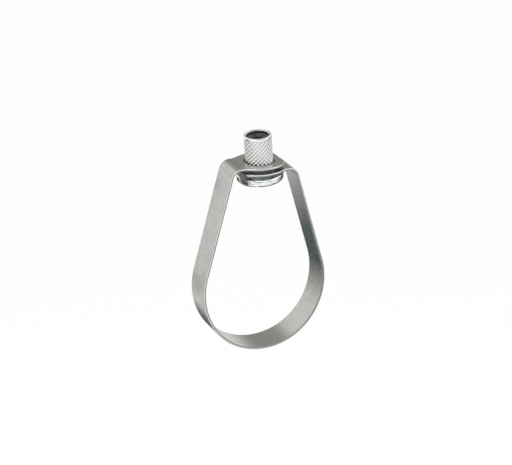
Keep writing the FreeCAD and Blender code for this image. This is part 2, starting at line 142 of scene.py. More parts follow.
@dataclass
class Skin:
    """Grids of points, in millimetres, gathered into one closed mesh."""

    points: list[np.ndarray] = field(default_factory=list)
    quads: list[np.ndarray] = field(default_factory=list)
    marks: dict[Mark, list[np.ndarray]] = field(default_factory=dict)
    maps: list[np.ndarray] = field(default_factory=list)
    count: int = 0

    def add(
        self,
        grid: np.ndarray,
        core: np.ndarray,
        marks: dict[Mark, np.ndarray],
        unwrapped: np.ndarray | None = None,
    ) -> None:
        """Add a grid of points as a sheet of four-sided faces that point away from its core.

        Each face joins four neighbours of the grid. The sheet is turned over where the sum of
        each face's normal times its way from the core is negative.

        Args:
            grid: Points, as rows x columns x 3.
            core: Points inside the material, in a shape that broadcasts to the grid's.
            marks: Values of each point, as rows x columns or rows x columns x 3.
            unwrapped: Each point's place in the bake's map, as rows x columns x 2.
        """
        quads = grid_quads(*grid.shape[:2])
        points = grid.reshape(-1, 3)
        cores = np.broadcast_to(core, grid.shape).reshape(-1, 3)
        away = points[quads].mean(axis=1) - cores[quads].mean(axis=1)
        if np.sum(face_normals(points, quads) * away) < 0.0:
            quads = quads[:, ::-1]
        self.points.append(points)
        self.quads.append(quads + self.count)
        self.count += len(points)
        for mark, values in marks.items():
            flat = values.reshape(-1, 3) if values.ndim == 3 else values.reshape(-1)
            self.marks.setdefault(mark, []).append(flat)
        if unwrapped is not None:
            self.maps.append(unwrapped.reshape(-1, 2)[quads.ravel()])

    def make(self, name: str) -> bpy.types.Object:
        """Join the grids where their points meet, and make the object.

        Points that round to the same hundred-thousandth of a millimetre become one. A point's
        normal is the sum of its faces' normals, each as long as its face is large, so that flat
        faces stay flat beside narrow rounded ones.

        Args:
            name: Name of the object and its mesh.

        Returns:
            The object, at the origin.
        """
        points = np.concatenate(self.points)
        keys = np.floor(points * CELLS_PER_MM + CELL_OFFSET).astype(np.int64)
        _, first, same = np.unique(keys, axis=0, return_index=True, return_inverse=True)
        quads = same.reshape(-1)[np.concatenate(self.quads)]
        points = points[first]
        check_closed(name, quads)

        mesh = bpy.data.meshes.new(name)
        mesh.from_pydata((points * MM).tolist(), [], quads.tolist())
        mesh.polygons.foreach_set("use_smooth", np.ones(len(quads), bool))
        for mark, parts in self.marks.items():
            values = np.concatenate(parts)[first].astype(np.float32)
            kind, key = ("FLOAT_VECTOR", "vector") if values.ndim == 2 else ("FLOAT", "value")
            mesh.attributes.new(mark.value, kind, "POINT").data.foreach_set(key, values.ravel())
        if self.maps:
            layer = mesh.uv_layers.new(name="OFBake")
            layer.uv.foreach_set("vector", np.concatenate(self.maps).astype(np.float32).ravel())
        sums = np.zeros_like(points)
        for corner in range(4):
            np.add.at(sums, quads[:, corner], face_normals(points, quads))
        mesh.normals_split_custom_set_from_vertices(
            (sums / np.linalg.norm(sums, axis=1, keepdims=True)).tolist()
        )
        made = bpy.data.objects.new(name, mesh)
        bpy.context.scene.collection.objects.link(made)
        return made


def face_normals(points: np.ndarray, quads: np.ndarray) -> np.ndarray:
    """Cross product of each face's diagonals, which is its normal times twice its area."""
    first, second, third, fourth = (points[quads[:, corner]] for corner in range(4))
    return np.cross(third - first, fourth - second)


def check_closed(name: str, quads: np.ndarray) -> None:
    """Stop if an edge of a mesh isn't shared by two faces that pass it in opposite directions.

    Args:
        name: Name of the piece, for the message.
        quads: Its faces, as point numbers.
    """
    edges = np.stack([quads, np.roll(quads, -1, axis=1)], axis=-1).reshape(-1, 2)
    size = int(quads.max()) + 1
    there = np.sort(edges[:, 0].astype(np.int64) * size + edges[:, 1])
    back = np.sort(edges[:, 1].astype(np.int64) * size + edges[:, 0])
    if np.any(edges[:, 0] == edges[:, 1]) or not np.array_equal(there, back):
        raise ValueError(f"{name} isn't closed")


@dataclass(frozen=True)
class Noise:
    """Cloudy values: how fine, detailed, rough and stretched they are, and their share of a mix."""

    scale: float
    detail: float = 2.0
    roughness: float = 0.5
    stretch: Triple = (1.0, 1.0, 1.0)
    share: float = 1.0


class Nodes:
    """A node tree that is built up node by node."""

    def __init__(self, tree: bpy.types.NodeTree) -> None:
        """Empty the tree."""
        self.tree = tree
        tree.nodes.clear()

    def add(self, kind: str, **settings: object) -> bpy.types.Node:
        """Add a node and set its properties.

        Args:
            kind: The node's type name without its leading ShaderNode.
            **settings: Properties of the node.

        Returns:
            The node.
        """
        node = self.tree.nodes.new(f"ShaderNode{kind}")
        for name, value in settings.items():
            setattr(node, name, value)
        return node

    def feed(self, node: bpy.types.Node, **inputs: object) -> bpy.types.Node:
        """Set or link a node's inputs, given by their names in lower case with underscores.

        Args:
            node: The node that is fed.
            **inputs: A plain value, or another node's output.

        Returns:
            The same node.
        """
        for name, value in inputs.items():
            socket = next(
                item for item in node.inputs if item.enabled and socket_key(item.name) == name
            )
            if isinstance(value, Socket):
                self.tree.links.new(value, socket)
            else:
                socket.default_value = value
        return node

    def mark(self, mark: Mark) -> bpy.types.Node:
        """The values that a mesh keeps with its points."""
        return self.add("Attribute", attribute_name=mark.value)

    def scaled(self, vector: Socket, by: Triple) -> Socket:
        """A vector times a factor for each of its axes."""
        node = self.add("VectorMath", operation="MULTIPLY")
        self.tree.links.new(vector, node.inputs[0])
        node.inputs[1].default_value = by
        return node.outputs[0]

    def noise(self, vector: Socket, noise: Noise) -> Socket:
        """Cloudy values around 0.5, with features about one over the noise's scale across."""
        node = self.add("TexNoise")
        self.feed(node, vector=self.scaled(vector, noise.stretch), scale=noise.scale)
        self.feed(node, detail=noise.detail, roughness=noise.roughness)
        return node.outputs["Fac"]

    def weighed(self, *parts: tuple[Socket, Noise]) -> Socket:
        """The sum of some noises, each moved from its usual span to 0 to 1 and times its share."""
        total: Socket | float = 0.0
        for value, noise in parts:
            part = self.maths("MULTIPLY", self.spread(value, *NOISE_SPAN), noise.share)
            total = self.maths("ADD", total, part)
        return total

    def spread(
        self, value: Socket, low: float, high: float, to_low: float = 0.0, to_high: float = 1.0
    ) -> Socket:
        """A value moved from the range low to high to another range, and held within it."""
        node = self.add("MapRange", clamp=True)
        self.feed(node, value=value, from_min=low, from_max=high, to_min=to_low, to_max=to_high)
        return node.outputs[0]

    def maths(
        self, operation: str, first: Socket | float, second: Socket | float
    ) -> Socket:
        """The sum, product or other result of two values."""
        node = self.add("Math", operation=operation)
        for socket, value in zip(node.inputs, (first, second)):
            if isinstance(value, Socket):
                self.tree.links.new(value, socket)
            else:
                socket.default_value = value
        return node.outputs[0]

    def mixed(
        self,
        share: Socket,
        first: Socket | Triple,
        second: Socket | Triple,
    ) -> Socket:
        """A colour between two others.

        Args:
            share: How much of the second colour there is, from 0 to 1.
            first: The colour where share is 0.
            second: The colour where share is 1.

        Returns:
            The mixed colour.
        """
        node = self.add("Mix", data_type="RGBA")
        self.tree.links.new(share, node.inputs["Factor"])
        for socket, value in zip((node.inputs[6], node.inputs[7]), (first, second)):
            if isinstance(value, Socket):
                self.tree.links.new(value, socket)
            else:
                socket.default_value = (*value, 1.0)
        return node.outputs[2]

    def bumped(
        self, height: Socket, depth: float, under: Socket | None = None
    ) -> Socket:
        """A normal that a height field of a depth in millimetres tilts, over another normal."""
        node = self.add("Bump")
        self.feed(node, height=height, strength=1.0, distance=depth * MM)
        if under is not None:
            self.feed(node, normal=under)
        return node.outputs[0]


def socket_key(name: str) -> str:
    """A socket's name in lower case with underscores."""
    return name.lower().replace(" ", "_")


def new_material(name: str) -> tuple[bpy.types.Material, Nodes]:
    """A new material, and its empty node tree."""
    material = bpy.data.materials.new(name)
    material.use_nodes = True
    return material, Nodes(material.node_tree)


@dataclass(frozen=True)
class GalvanisedSteel:
    """Zinc-coated strip: matte, warm grey, finely mottled, with a faint grain along the strip.

    Its sheared edges are burnished near the outer face and torn and darker near the inner one.
    The bends are a little yellower, and the holes and the gap between the plates are darkened with
    painted shade.
    """

    light: Triple = (0.62, 0.615, 0.585)
    dark: Triple = (0.42, 0.415, 0.39)
    burnished: Triple = (0.82, 0.82, 0.80)
    fractured: Triple = (0.30, 0.30, 0.29)
    fracture_depth: Pair = (0.80, 0.60)
    torn_roughness: float = 0.15
    stretched: Triple = (0.47, 0.46, 0.40)
    stretched_share: float = 0.55
    # Painted shade between the plates and on the holes' walls
    painted_gap_shade: Triple = (0.23, 0.25, 0.25)
    smooth: float = 0.22
    rough: float = 0.33
    grain: Noise = Noise(1.5, 4.0, 0.62, (0.8, 1.0, 1.0), 0.55)
    patches: Noise = Noise(0.16, 3.0, share=0.22)
    streaks: Noise = Noise(2.2, 3.0, 0.6, (0.03, 1.0, 1.0), 0.06)
    waves: Noise = Noise(0.35)
    crystal_scale: float = 0.55
    crystal_share: float = 0.17
    wave_depth: float = 0.065
    grain_depth: float = 0.012
    streak_depth: float = 0.004

    def make(self) -> bpy.types.Material:
        """Make the material from noise in the flat strip's own coordinates.

        Returns:
            The material.
        """
        material, nodes = new_material("galvanised_steel")
        flat = nodes.mark(Mark.FLAT).outputs["Vector"]
        edge, bend, painted_shade = (
            nodes.mark(mark).outputs["Fac"] for mark in (Mark.EDGE, Mark.BEND, Mark.PAINTED_SHADE)
        )
        grain = nodes.noise(flat, self.grain)
        patches = nodes.noise(flat, self.patches)
        streaks = nodes.noise(flat, self.streaks)
        crystals = nodes.add("TexVoronoi", feature="F1")
        nodes.feed(crystals, vector=nodes.scaled(flat, self.grain.stretch))
        nodes.feed(crystals, scale=self.crystal_scale, randomness=1.0)
        spangle = nodes.feed(nodes.add("SeparateColor"), color=crystals.outputs["Color"])
        tone = nodes.weighed((grain, self.grain), (patches, self.patches), (streaks, self.streaks))
        spangled = nodes.maths("MULTIPLY", spangle.outputs[0], self.crystal_share)
        tone = nodes.maths("ADD", tone, spangled)
        colour = nodes.mixed(tone, self.dark, self.light)
        strained = nodes.maths("MULTIPLY", bend, self.stretched_share)
        colour = nodes.mixed(strained, colour, self.stretched)
        depth = nodes.feed(nodes.add("SeparateXYZ"), vector=flat).outputs["Z"]
        fracture = nodes.spread(depth, *self.fracture_depth)
        sheared = nodes.mixed(fracture, self.burnished, self.fractured)
        colour = nodes.mixed(edge, colour, sheared)
        # Painted shade between the plates and on the holes' walls
        colour = nodes.mixed(painted_shade, colour, self.painted_gap_shade)

        rough = nodes.spread(tone, *TONE_SPAN, self.rough, self.smooth)
        torn = nodes.maths("MULTIPLY", edge, fracture)
        rough = nodes.maths("ADD", rough, nodes.maths("MULTIPLY", torn, self.torn_roughness))
        normal = nodes.bumped(nodes.noise(flat, self.waves), self.wave_depth)
        normal = nodes.bumped(grain, self.grain_depth, normal)
        normal = nodes.bumped(streaks, self.streak_depth, normal)

        shader = nodes.add("BsdfPrincipled")
        nodes.feed(shader, base_color=colour, metallic=1.0, roughness=rough, normal=normal)
        nodes.feed(nodes.add("OutputMaterial"), surface=shader.outputs[0])
        return material


@dataclass(frozen=True)
class PlatedSteel:
    """Bright zinc plating over turned and knurled steel, with fine turning marks.

    The knurl's grooves are darkened with painted shade, the flange has dull, less metallic patches
    inside its rim with a painted pale blue reflection and painted dark reflections on its rim, the
    barrel is darkened with painted shade between the plates, and the bore is painted dark with shade
    and is less metallic.
    """

    bright: Triple = (0.93, 0.935, 0.93)
    dull: Triple = (0.80, 0.805, 0.80)
    # Painted shade in the knurl's grooves, and painted dark reflections on the flange's rim
    painted_shade_and_reflection: Triple = (0.14, 0.14, 0.13)
    groove_shade_span: Pair = (0.4, 1.0)
    groove_shade_share: float = 0.68
    # Dull, less metallic patches inside the rim, with a pale blue tint that is a painted reflection
    painted_blue_reflection: Triple = (0.66, 0.78, 0.86)
    haze_starts: Pair = (7.2, 8.0)
    haze_ends: Pair = (10.6, 11.2)
    haze_span: Pair = (0.42, 0.56)
    # Painted dark reflections on the flange's rim: the radii where they start, and the noise's span that
    # they take
    rim_starts: Pair = (9.5, 11.0)
    rim_reflection_span: Pair = (0.565, 0.62)
    # Painted shade inside the bore
    inside: Triple = (0.062, 0.076, 0.080)
    # Painted shade, with a blue tint that is a painted reflection, on the barrel between the plates
    painted_gap_shade: Triple = (0.36, 0.40, 0.41)
    least_metallic: float = 0.4
    smooth: float = 0.16
    rough: float = 0.30
    groove_roughness: float = 0.12
    clouds: Noise = Noise(260.0, 3.0, 0.55, share=0.5)
    rings: Noise = Noise(7.0, 3.0, 0.6, (1.0, 1.0, 0.06), 0.3)
    specks: Noise = Noise(2200.0, share=0.2)
    # Painted dark reflections on the flange's rim
    rim_reflections: Noise = Noise(270.0, 3.0, 0.55, (0.8, 0.8, 4.5), 0.9)
    haze: Noise = Noise(150.0, 2.0, 0.6, (1.0, 1.0, 2.0))
    ring_depth: float = 0.006
    speck_depth: float = 0.004

    def make(self) -> bpy.types.Material:
        """Make the material from noise in the nut's coordinates and in its plain section's.

        Returns:
            The material.
        """
        material, nodes = new_material("plated_steel")
        turned = nodes.mark(Mark.TURNED).outputs["Vector"]
        groove, bore, painted_shade = (
            nodes.mark(mark).outputs["Fac"] for mark in (Mark.GROOVE, Mark.BORE, Mark.PAINTED_SHADE)
        )
        place = nodes.add("TexCoord").outputs["Object"]
        radius = nodes.feed(nodes.add("SeparateXYZ"), vector=turned).outputs["X"]
        clouds, specks, rim_reflections, haze = (
            nodes.noise(place, noise) for noise in (self.clouds, self.specks, self.rim_reflections, self.haze)
        )
        rings = nodes.noise(turned, self.rings)
        tone = nodes.weighed((clouds, self.clouds), (rings, self.rings), (specks, self.specks))
        colour = nodes.mixed(tone, self.dull, self.bright)
        # Painted shade in the knurl's grooves
        groove_shade = nodes.spread(groove, *self.groove_shade_span, 0.0, self.groove_shade_share)
        colour = nodes.mixed(groove_shade, colour, self.painted_shade_and_reflection)
        # Dull, less metallic patches inside the rim, with a pale blue tint that is a painted reflection
        beyond_neck = nodes.spread(radius, *self.haze_starts)
        within_rim = nodes.maths("SUBTRACT", beyond_neck, nodes.spread(radius, *self.haze_ends))
        dull_tinted_patches = nodes.maths("MULTIPLY", within_rim, nodes.spread(haze, *self.haze_span))
        colour = nodes.mixed(dull_tinted_patches, colour, self.painted_blue_reflection)
        # Painted dark reflections on the flange's rim
        painted_rim_reflection = nodes.spread(rim_reflections, *self.rim_reflection_span, 0.0, self.rim_reflections.share)
        painted_rim_reflection = nodes.maths("MULTIPLY", nodes.spread(radius, *self.rim_starts), painted_rim_reflection)
        colour = nodes.mixed(painted_rim_reflection, colour, self.painted_shade_and_reflection)
        # Painted shade inside the bore
        colour = nodes.mixed(bore, colour, self.inside)
        # Painted shade on the barrel between the plates
        colour = nodes.mixed(painted_shade, colour, self.painted_gap_shade)

        rough = nodes.spread(tone, *TONE_SPAN, self.rough, self.smooth)
        rough = nodes.maths("ADD", rough, nodes.maths("MULTIPLY", groove, self.groove_roughness))
        normal = nodes.bumped(rings, self.ring_depth)
        normal = nodes.bumped(specks, self.speck_depth, normal)
        dim = nodes.maths("MAXIMUM", bore, dull_tinted_patches)
        metallic = nodes.spread(dim, 0.0, 1.0, 1.0, self.least_metallic)

        shader = nodes.add("BsdfPrincipled")
        nodes.feed(shader, base_color=colour, metallic=metallic, roughness=rough, normal=normal)
        nodes.feed(nodes.add("OutputMaterial"), surface=shader.outputs[0])
        return material


@dataclass
class StripRing:
    """The strip bent into a pear-shaped ring, with an eared plate at each end."""

    seat_radius: float = 30.5
    seat_half_angle: float = 60.0
    seat_drop: float = 64.9
    flank_radius: float = 34.1
    width: float = 15.9
    thickness: float = 1.2
    bend_radius: float = 4.2
    bend_spacing: float = 25.1
    plate_gap: float = 1.85
    edge_roll: Pair = (0.30, 0.50)
    edge_burr: float = 0.20
    ear_half_width: float = 11.5
    ear_start: float = 12.0
    ear_reach: float = 10.95
    ear_blend: float = 6.0
    ear_corner: float = 6.5
    cropped_end: Pair = (7.0, 8.5)
    hole_radius: float = 7.7
    hole_roll: Pair = (0.14, 0.25)
    hole_burr: float = 0.10
    wall_starts: Pair = (0.04, 0.2)
    wall_ends: Pair = (0.9, 1.0)
    shade_depth: float = 0.9
    shade_fade: float = 1.5
    hole_fade: float = 0.1
    bend_fade: float = 2.5
    bend_steps: int = 26
    leg_steps: int = 24
    flank_steps: int = 48
    seat_steps: int = 128
    outline_steps: tuple[int, ...] = (3, 10, 26, 18, 4)
    round_points: int = 7
    face_columns: int = 15
    plate_rows: int = 6

    def build(self) -> bpy.types.Object:
        """Make the whole strip as one closed mesh.

        Returns:
            The ring's object.
        """
        skin = Skin()
        inside, outward, station, bend = self.side_path()
        self.add_strip(skin, inside, outward, station, bend)
        self.add_plate(skin, +1, 0.0, 0.0)
        self.add_plate(skin, -1, -self.thickness - self.plate_gap, float(station[-1]))
        return skin.make("strap_ring")

    def dress(self, ring: bpy.types.Object, finish: GalvanisedSteel) -> None:
        """Give the ring its finish, its body and its slot, in place of the plain node."""
        ring.data.materials.append(finish.make())
        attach(ring, Body.RING.value)
        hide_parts("ring_band")

    def side_path(self) -> tuple[np.ndarray, np.ndarray, np.ndarray, np.ndarray]:
        """The strip's inside face in side view, from the upper plate round the ring to the lower one.

        It is a chain of arcs and straight legs that touch: a bend, a leg, a flank, the seat for
        the pipe, a flank, a leg and a bend. A leg's normal is at the angle at which one line
        touches the flank's circle and the bend's circle.

        Returns:
            Points in X and Z, their outward directions, the length of strip before each, and how
            much it is bent there, from 0 to 1.
        """
        half = math.radians(self.seat_half_angle)
        inward = self.flank_radius - self.seat_radius
        flank = (-inward * math.sin(half), -self.seat_drop + inward * math.cos(half))
        outer_bend = self.bend_radius + self.thickness
        heads = (-outer_bend, -self.thickness - self.plate_gap - outer_bend)
        left_leg, right_leg = (self.leg_angle(flank, head) for head in heads)
        left_head, right_head = (-self.bend_spacing / 2, heads[0]), (self.bend_spacing / 2, heads[1])
        low = 270.0 - self.seat_half_angle
        high = 270.0 + self.seat_half_angle
        arcs = [
            (left_head, self.bend_radius, 90.0, 180.0 - left_leg, self.bend_steps),
            ((-flank[0], flank[1]), self.flank_radius, 180.0 - left_leg, low, self.flank_steps),
            ((0.0, -self.seat_drop), self.seat_radius, low, high, self.seat_steps),
            (flank, self.flank_radius, high, 360.0 + right_leg, self.flank_steps),
            (right_head, self.bend_radius, 360.0 + right_leg, 450.0, self.bend_steps),
        ]
        before_legs = (0, 3)
        points, outward, bent = [], [], []
        for number, (centre, radius, first, last, steps) in enumerate(arcs):
            places, directions = arc(centre, radius, first, last, steps)
            points.append(places)
            outward.append(directions)
            bent.append(np.full(steps, 1.0 if radius == self.bend_radius else 0.0))
            ends = np.array([math.cos(math.radians(last)), math.sin(math.radians(last))])
            end = np.asarray(centre) + radius * ends
            if number in before_legs:
                following = arcs[number + 1]
                start = np.asarray(following[0]) + following[1] * ends
                leg = run(end, start, self.leg_steps)
                points.append(leg)
                outward.append(np.broadcast_to(ends, leg.shape))
                bent.append(np.zeros(len(leg)))
        points.append(end[None, :])
        outward.append(np.array([[0.0, 1.0]]))
        bent.append(np.ones(1))
        inside, directions = np.concatenate(points), np.concatenate(outward)
        middle = inside + directions * self.thickness / 2
        steps_along = np.linalg.norm(np.diff(middle, axis=0), axis=1)
        station = np.concatenate([[0.0], np.cumsum(steps_along)])
        return inside, directions, station, np.concatenate(bent)

    def leg_angle(self, flank: Pair, head: float) -> float:
        """Angle of a leg's normal above the horizontal.

        Args:
            flank: Centre of the right-hand flank.
            head: Height of the bend's centre.

        Returns:
            The angle in degrees.
        """
        run_x, run_z = self.bend_spacing / 2 - flank[0], head - flank[1]
        spread = math.acos((self.flank_radius - self.bend_radius) / math.hypot(run_x, run_z))
        return math.degrees(math.atan2(run_z, run_x) - spread)

    def edge_profile(self, roll: Pair, burr: float) -> tuple[np.ndarray, np.ndarray]:
        """A sheared edge from the outer face to the inner face.

        Shearing rolls the outer face over in a quarter ellipse. A wall and a small quarter
        circle follow, and the last point lies on the inner face, as far in as the first one.

        Args:
            roll: How far the ellipse reaches in from the edge, and how far down.
            burr: Radius of the quarter circle.

        Returns:
            How far each point lies inside the edge, and how far below the outer face.
        """
        turn = np.radians(np.linspace(0.0, 90.0, self.round_points))
        high_inset, high_drop = roll[0] * (1.0 - np.sin(turn)), roll[1] * (1.0 - np.cos(turn))
        low_inset, low_drop = burr * (1.0 - np.sin(turn)), burr * (1.0 - np.cos(turn))
        return (
            np.concatenate([high_inset, low_inset[::-1], high_inset[:1]]),
            np.concatenate([high_drop, self.thickness - low_drop[::-1], [self.thickness]]),
        )

    def wall_share(self, drop: np.ndarray) -> np.ndarray:
        """How much of the bare sheared wall shows: none at the two faces, all between them."""
        share = drop / self.thickness
        return smooth_step(share, *self.wall_starts) * (1.0 - smooth_step(share, *self.wall_ends))

    def face_samples(self) -> np.ndarray:
        """Places across a flat face of the strip, between its two rounded edges."""
        half = self.width / 2 - self.edge_roll[0]
        return np.linspace(-half, half, self.face_columns)

    def add_strip(
        self,
        skin: Skin,
        inside: np.ndarray,
        outward: np.ndarray,
        station: np.ndarray,
        bend: np.ndarray,
    ) -> None:
        """Carry the strip's cross-section along its path.

        A point is the path's point, plus its depth times the outward direction, plus its place
        across the strip along Y.

        Args:
            skin: The mesh that it goes into.
            inside: Points of the path.
            outward: Outward directions of the path.
            station: Length of strip before each point.
            bend: How much the strip is bent at each point.
        """
        inset, drop = self.edge_profile(self.edge_roll, self.edge_burr)
        face = self.face_samples()
        side = self.width / 2 - inset[1:-1]
        depth = self.thickness - drop[1:-1]
        full, none = np.full(len(face), self.thickness), np.zeros(len(face))
        across = np.concatenate([face, side, face[::-1], -side[::-1], face[:1]])
        depths = np.concatenate([full, depth, none, depth[::-1], full[:1]])
        wall = self.wall_share(drop[1:-1])
        on_edge = np.concatenate([none, wall, none, wall, none[:1]])
        shape = (len(inside), len(across))
        spine = np.stack([inside[:, 0], np.zeros(len(inside)), inside[:, 1]], axis=1)
        lift = np.stack([outward[:, 0], np.zeros(len(inside)), outward[:, 1]], axis=1)
        grid = spine[:, None] + lift[:, None] * depths[None, :, None]
        grid = grid + across[None, :, None] * np.array([0.0, 1.0, 0.0])
        flat = np.stack(
            [
                np.broadcast_to(station[:, None], shape),
                np.broadcast_to(across[None], shape),
                np.broadcast_to(depths[None], shape),
            ],
            axis=-1,
        )
        marks = {
            Mark.FLAT: flat,
            Mark.EDGE: np.broadcast_to(on_edge[None], shape),
            Mark.BEND: np.broadcast_to(bend[:, None], shape),
            Mark.PAINTED_SHADE: np.zeros(shape),
        }
        skin.add(grid, (spine + lift * self.thickness / 2)[:, None], marks)

    def ear_outline(self) -> tuple[np.ndarray, np.ndarray]:
        """Plan of an ear that points to +X, from the strip's +Y edge round its end to the -Y edge.

        A short straight run, a hollow curve, an arc that peaks beside the hole, a rounded corner
        and half of the straight end, and then the same mirrored in X's axis.

        Returns:
            The outline's points, and the directions out of the plate.
        """
        half = self.width / 2
        rise = half + self.ear_blend
        spare = rise - self.ear_half_width
        radius = (self.ear_start**2 + spare**2 - self.ear_blend**2) / (2 * (self.ear_blend - spare))
        sunk = radius - self.ear_half_width
        meet = math.degrees(math.asin((rise + sunk) / (radius + self.ear_blend)))
        corner_x = self.ear_reach - self.ear_corner
        turn = math.degrees(math.acos(corner_x / (radius - self.ear_corner)))
        corner_y = (radius - self.ear_corner) * math.sin(math.radians(turn)) - sunk
        counts = self.outline_steps
        straight = run((-self.bend_spacing / 2, half), (-self.ear_start, half), counts[0])
        hollow, inward = arc((-self.ear_start, rise), self.ear_blend, -90.0, -meet, counts[1])
        side, side_out = arc((0.0, -sunk), radius, 180.0 - meet, turn, counts[2])
        corner, corner_out = arc((corner_x, corner_y), self.ear_corner, turn, 0.0, counts[3])
        end = run((self.ear_reach, corner_y), (self.ear_reach, 0.0), counts[4])
        upward, forward = np.array([0.0, 1.0]), np.array([1.0, 0.0])
        points = np.concatenate([straight, hollow, side, corner, end, [[self.ear_reach, 0.0]]])
        outward = np.concatenate(
            [
                np.broadcast_to(upward, straight.shape),
                -inward,
                side_out,
                corner_out,
                np.broadcast_to(forward, (len(end) + 1, 2)),
            ]
        )
        mirror = np.array([1.0, -1.0])
        return (
            np.concatenate([points, points[-2::-1] * mirror]),
            np.concatenate([outward, outward[-2::-1] * mirror]),
        )

    def add_plate(self, skin: Skin, toward: int, top: float, station: float) -> None:
        """Add one eared plate: rings of points between its hole and its outline.

        Each line of the grid goes round a section of the plate, out of the hole over the top
        face, down the outline's rounded edge and back under the plate. Where the plate runs on
        into the strip, the lines leave out the outline's edge.

        Args:
            skin: The mesh that it goes into.
            toward: +1 where the plate's end points to +X, and -1 where it points to -X.
            top: Height of its top face.
            station: Length of strip before the plate's start, at the strip's bend.
        """
        inset, drop = self.edge_profile(self.edge_roll, self.edge_burr)
        outline, outward = self.ear_outline()
        lines = outline[:, None] - outward[:, None] * inset[None, :, None]
        self.add_plate_part(skin, lines, drop, toward, top, station)
        across = self.face_samples()
        seam = np.stack([np.full(len(across), -self.bend_spacing / 2), across], axis=1)
        lines = np.stack([seam, seam], axis=1)
        self.add_plate_part(skin, lines, drop[[0, -1]], toward, top, station)

    def add_plate_part(
        self,
        skin: Skin,
        lines: np.ndarray,
        drops: np.ndarray,
        toward: int,
        top: float,
        station: float,
    ) -> None:
        """Add the part of a plate that lies between its hole and some points of its outline.

        Args:
            skin: The mesh that it goes into.
            lines: Points of the outline's edge, from the top face down, as lines x points x 2.
            drops: How far below the top face each point of a line lies.
            toward: +1 where the plate's end points to +X, and -1 where it points to -X.
            top: Height of the top face.
            station: Length of strip before the plate's start.
        """
        first = lines[:, 0]
        reach = np.linalg.norm(first, axis=1, keepdims=True)
        ray = first / reach
        hole_inset, hole_drop = self.edge_profile(self.hole_roll, self.hole_burr)
        hole_radii = self.hole_radius + hole_inset
        hole = ray[:, None] * hole_radii[None, ::-1, None]
        share = np.linspace(0.0, 1.0, self.plate_rows + 1)[None, 1:-1, None]
        over = hole[:, -1:] * (1.0 - share) + lines[:, :1] * share
        under = lines[:, -1:] * (1.0 - share) + hole[:, :1] * share
        plan = np.concatenate([hole, over, lines, under], axis=1)
        level = np.concatenate(
            [
                hole_drop[::-1],
                np.zeros(self.plate_rows - 1),
                drops,
                np.full(self.plate_rows - 1, self.thickness),
            ]
        )
        edge = np.concatenate(
            [
                self.wall_share(hole_drop)[::-1],
                np.zeros(self.plate_rows - 1),
                self.wall_share(drops),
                np.zeros(self.plate_rows - 1),
            ]
        )
        if len(drops) > 2:
            plan = np.concatenate([plan, plan[:, :1]], axis=1)
            level, edge = np.append(level, level[0]), np.append(edge, edge[0])
        else:
            turn = len(hole_drop) + self.plate_rows
            plan = np.concatenate([plan[:, turn:], plan[:, :1], plan[:, 1:turn]], axis=1)
            level, edge = np.roll(level, -turn), np.roll(edge, -turn)
        shape = plan.shape[:2]
        plan = plan * toward
        grid = np.concatenate([plan, np.broadcast_to(top - level, shape)[..., None]], axis=-1)
        along = station - toward * (self.bend_spacing / 2 + toward * plan[..., 0])
        depth = np.broadcast_to(self.thickness - level, shape)
        away = self.bend_spacing / 2 + toward * plan[..., 0]
        inward = depth if toward < 0 else level
        # Painted shade: the faces between the plates where one covers the other, and the hole's wall, are
        # marked to be darkened
        in_gap = smooth_step(inward, self.thickness * self.shade_depth, self.thickness)
        off_axis = np.hypot(plan[..., 0], plan[..., 1])
        in_hole = 1.0 - smooth_step(off_axis, self.hole_radius, self.hole_radius + self.hole_fade)
        overlap = self.bend_spacing / 2 - self.ear_reach
        covered = smooth_step(away, overlap, overlap + self.shade_fade)
        cropped = smooth_step(toward * plan[..., 0], *self.cropped_end)
        marks = {
            Mark.FLAT: np.stack([along, plan[..., 1], depth], axis=-1),
            Mark.EDGE: edge * (1.0 - cropped),
            Mark.BEND: 1.0 - smooth_step(away, 0.0, self.bend_fade),
            Mark.PAINTED_SHADE: np.maximum(in_gap * covered, in_hole),
        }
        ring = (hole[:, -1] + first) / 2 * toward
        core = np.concatenate([ring, np.full((len(ring), 1), top - self.thickness / 2)], axis=1)
        skin.add(grid, core[:, None], marks)


